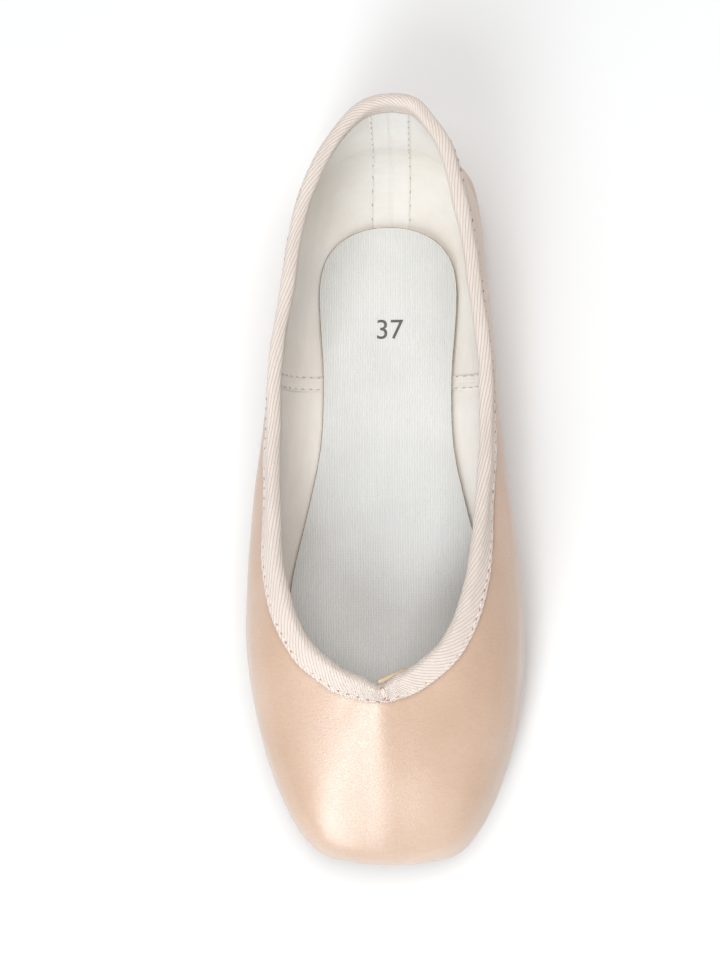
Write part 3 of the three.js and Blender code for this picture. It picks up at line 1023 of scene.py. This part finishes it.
def makeOutsole():
    piece = copyOfNode("leatherOutsole", "outsole")
    width, depth = outsoleShape["channelWidth"], outsoleShape["channelDepth"]
    line = undersideLine(piece, outsoleShape["channelFromEdge"] + 1.4 * width)
    # a cut channel for the stitches, a little in from the edge
    selectOnly(piece)
    bpy.ops.object.mode_set(mode="EDIT")
    bpy.ops.mesh.select_all(action="DESELECT")
    bpy.ops.object.mode_set(mode="OBJECT")
    for face in piece.data.polygons:
        face.select = face.normal.z < facingDown
    bpy.ops.object.mode_set(mode="EDIT")
    bpy.ops.mesh.select_mode(type="FACE")
    bpy.ops.mesh.inset(thickness=outsoleShape["channelFromEdge"], depth=0)
    bpy.ops.mesh.inset(thickness=width, depth=-depth)
    bpy.ops.mesh.inset(thickness=0.8 * width, depth=0)
    bpy.ops.mesh.inset(thickness=width, depth=depth)
    bpy.ops.object.mode_set(mode="OBJECT")
    roundEdges(piece, outsoleShape["edgeRound"])
    piece.data.materials.append(soleLeather)
    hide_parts("outsole")
    stitches = sew("outsoleStitches", paleThread, channelStitches(line))
    return piece, stitches


leatherOutsole, outsoleStitches = makeOutsole()
print("stage: insole and outsole")


# a plain size number printed on the insole
sizeMark = {
    "text": "37",
    "height": 9 * mm,
    "centre": (0.5 * mm, 52 * mm),
    "lift": 0.04 * mm,
    "thickness": 0.03 * mm,
}


def makeSizeMark():
    bpy.ops.object.select_all(action="DESELECT")
    bpy.ops.object.text_add()
    mark = bpy.context.object
    mark.data.body = sizeMark["text"]
    mark.data.size = sizeMark["height"]
    mark.data.align_x = "CENTER"
    mark.data.align_y = "CENTER"
    mark.data.extrude = sizeMark["thickness"]
    bpy.ops.object.convert(target="MESH")
    mark.name = "sizeMark"
    mark.data.name = "sizeMark"
    insoleTree = BVHTree.FromObject(insoleBoard, bpy.context.evaluated_depsgraph_get())
    for vert in mark.data.vertices:
        x, y = vert.co.x + sizeMark["centre"][0], vert.co.y + sizeMark["centre"][1]
        found = insoleTree.ray_cast(Vector((x, y, 50 * mm)), Vector((0, 0, -1)))[0]
        vert.co = (x, y, found.z + sizeMark["lift"] + vert.co.z)
    mark.data.materials.clear()
    mark.data.materials.append(printInk)
    return mark


printedSize = makeSizeMark()


elasticShape = {
    "width": 0.9 * mm,
    "thickness": 1.2 * mm,
    "from": 0.15,  # ribs along the throat
    "to": 11.0,
    "row": 4,  # where the tape folds over
    "clear": 0.5 * mm,  # of the fold at its start
    "tuck": 1.5 * mm,  # under the fold at its end
    "below": (0.4 * mm, 3.0 * mm),  # the fold, at its start and its end
    "taut": 0.45,  # how far it is drawn from the fold's curve to a straight line
}


def makeElastic():
    # lies against the fold's inner side, out from under the tack and back under the fold
    up = np.array([0, 0, 1.0])
    count = 48
    part = np.linspace(0, 1, count)[:, None]
    places = np.linspace(elasticShape["from"], elasticShape["to"], count)
    spots, along, _ = framesOn(tapeGrid, places, elasticShape["row"])
    late = part**4
    inward = elasticShape["clear"] * (1 - late) - elasticShape["tuck"] * late
    low, lowest = elasticShape["below"]
    spots = spots + unit(np.cross(up, along)) * inward - up * (low + (lowest - low) * part**2)
    straight = spots[:1] + (spots[-1:] - spots[:1]) * part
    spots = (1 - elasticShape["taut"]) * spots + elasticShape["taut"] * straight
    along = unit(np.gradient(spots, axis=0))
    side = unit(np.cross(up, along))
    rise = unit(np.cross(along, side))
    # a rounded square section, as shares of the thickness and the width
    section = [(-0.5, -0.5), (0, -0.62), (0.5, -0.5), (0.58, 0),
               (0.5, 0.5), (0, 0.62), (-0.5, 0.5), (-0.58, 0)]
    rings = np.stack([spots + side * a * elasticShape["thickness"] + rise * b * elasticShape["width"]
                      for a, b in section], axis=1)
    size = len(section)
    start = size * np.arange(count)
    faces = [(start[i] + k, start[i] + (k + 1) % size, start[i + 1] + (k + 1) % size, start[i + 1] + k)
             for i in range(count - 1) for k in range(size)]
    faces += [tuple(range(size))[::-1], tuple(start[-1] + k for k in range(size))]
    piece = newMesh("elasticDrawstring", rings.reshape(-1, 3), faces, elasticCloth)
    selectOnly(piece)
    bpy.ops.object.mode_set(mode="EDIT")
    bpy.ops.mesh.select_all(action="SELECT")
    bpy.ops.mesh.normals_make_consistent(inside=False)
    bpy.ops.object.mode_set(mode="OBJECT")
    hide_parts("drawstring")
    return piece


elasticDrawstring = makeElastic()
print("stage: drawstring")

for piece in (satinUpper, cottonLining, bindingTape, bindingStitches, bindingHoleShadeMarks, insoleBoard,
              leatherOutsole, outsoleStitches, printedSize, elasticDrawstring, *liningSeams):
    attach(piece, "root")


studio = {
    "floor": (0.84, 0.835, 0.83),
    "floorShade": (0.82, 0.815, 0.81),
    "floorGap": 0.1 * mm,  # below the sole, clear of its stitches
    "world": 0.23,
    "left": 1.5,  # the softboxes' power in watts
    "front": 15.2,
    "top": 18.5,
}


def makeFloor():
    bpy.ops.object.select_all(action="DESELECT")
    bpy.ops.mesh.primitive_plane_add(size=6, location=(0, 0, -studio["floorGap"]))
    floor = bpy.context.object
    floor.name = "studioFloor"
    material, nodes, links, shader = startMaterial("paleFloor")
    mottle = noiseOn(nodes, links, nodes.new("ShaderNodeTexCoord").outputs["Object"], 9, 3)
    links.new(colourRamp(nodes, links, mottle, [(0.35, studio["floorShade"]), (0.65, studio["floor"])]),
              shader.inputs["Base Color"])
    shader.inputs["Roughness"].default_value = 0.9
    floor.data.materials.append(material)


def addSoftbox(name, place, target, size, power, tint=(1, 1, 1)):
    data = bpy.data.lights.new(name, "AREA")
    data.shape = "RECTANGLE"
    data.size, data.size_y = size
    data.energy = power
    data.color = tint
    lamp = bpy.data.objects.new(name, data)
    bpy.context.scene.collection.objects.link(lamp)
    lamp.location = place
    lamp.rotation_euler = (Vector(target) - Vector(place)).to_track_quat("-Z", "Y").to_euler()


def makeStudio():
    makeFloor()
    world = bpy.data.worlds.new("studioWorld")
    world.use_nodes = True
    world.node_tree.nodes["Background"].inputs["Color"].default_value = (1, 1, 1, 1)
    world.node_tree.nodes["Background"].inputs["Strength"].default_value = studio["world"]
    bpy.context.scene.world = world
    addSoftbox("leftSoftbox", (-0.72, -0.85, 1.0), (0, -0.06, 0.03), (0.45, 0.6), studio["left"])
    addSoftbox("frontSoftbox", (-0.36, -1.12, 0.84), (-0.01, -0.08, 0.03), (0.4, 1.4), studio["front"],
               (0.9, 0.97, 1.0))
    addSoftbox("topSoftbox", (0.08, 0.32, 1.5), (0, 0, 0), (1.2, 1.2), studio["top"])
    bpy.context.scene.view_settings.view_transform = "Standard"


view = {
    "target": (-9.24 * mm, 5.4 * mm, 0),
    "distance": 588 * mm,
    "across": 3.6,  # degrees to the right of straight above
    "up": 84.0,  # degrees above the floor, seen from the toe
    "lens": 69.64,
    "sensor": 36,
}


def makeCamera():
    data = bpy.data.cameras.new("camera")
    data.lens = view["lens"]
    data.sensor_width = view["sensor"]
    camera = bpy.data.objects.new("camera", data)
    bpy.context.scene.collection.objects.link(camera)
    slope = math.tan(math.radians(view["across"]))
    lean = 1 / math.tan(math.radians(view["up"]))
    away = Vector((slope, -lean, 1)).normalized()
    right = (-away).cross(Vector((0, 1, 0))).normalized()
    turn = Matrix((right, right.cross(-away), away)).transposed().to_4x4()
    camera.matrix_world = Matrix.Translation(Vector(view["target"]) + away * view["distance"]) @ turn
    bpy.context.scene.camera = camera


makeStudio()
makeCamera()
print("stage: studio and camera")
